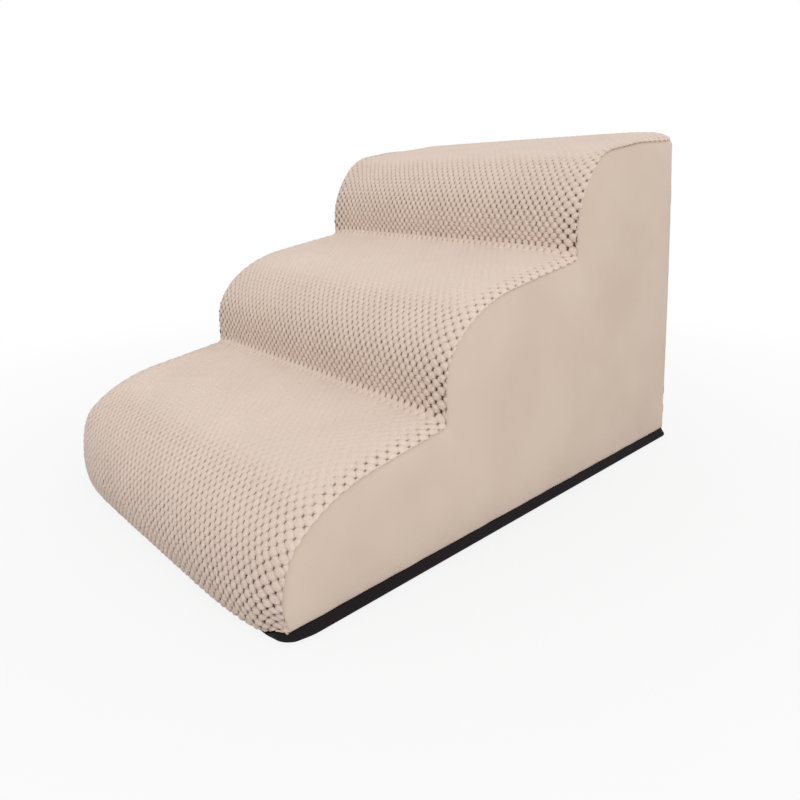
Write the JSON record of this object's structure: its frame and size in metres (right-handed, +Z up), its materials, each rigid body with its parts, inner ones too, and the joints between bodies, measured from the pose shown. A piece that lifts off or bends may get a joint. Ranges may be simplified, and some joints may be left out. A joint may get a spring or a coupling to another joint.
{
  "type": "pet stairs",
  "caption": "Foam pet stairs with rounded plush steps, smooth side and back panels, a non-slip base and a zip across the lower back.",
  "frame": {"origin": "on the floor, under the middle of the stairs' box", "axes": "+Z up, +X along the width, +Y from the low front step to the tall back"},
  "size_m": [0.43, 0.6002, 0.385],
  "materials": {
    "foam": "matte",
    "plush": "matte",
    "suede": "matte",
    "grip_base": "matte",
    "tape": "matte",
    "coil": "satin",
    "zip_metal": "satin"
  },
  "bodies": {
    "stairs": {"foam_core": "foam", "tread_panel": "plush", "side_panel_right": "suede", "side_panel_left": "suede", "back_panel": "suede", "back_strip": "suede", "base_panel": "grip_base", "zip_tape_upper": "tape", "zip_tape_lower": "tape", "zip_coil_upper": "coil", "zip_coil_lower": "coil", "zip_top_stops": "zip_metal", "zip_bottom_stop": "zip_metal"},
    "slider": {"zip_slider": "zip_metal"},
    "pull": {"zip_pull": "zip_metal"}
  },
  "joints": [
    {"name": "zip_slide", "type": "slide", "parent": "stairs", "child": "slider", "axis": [-1, 0, 0], "range_m": [0, 0.3671], "deforming": ["zip_coil_upper", "zip_coil_lower"]},
    {"name": "pull_swing", "type": "hinge", "parent": "slider", "child": "pull", "pos_m": [0.1837, 0.2983, 0.05], "axis": [0, 0, -1], "range_deg": [0, 180]}
  ]
}
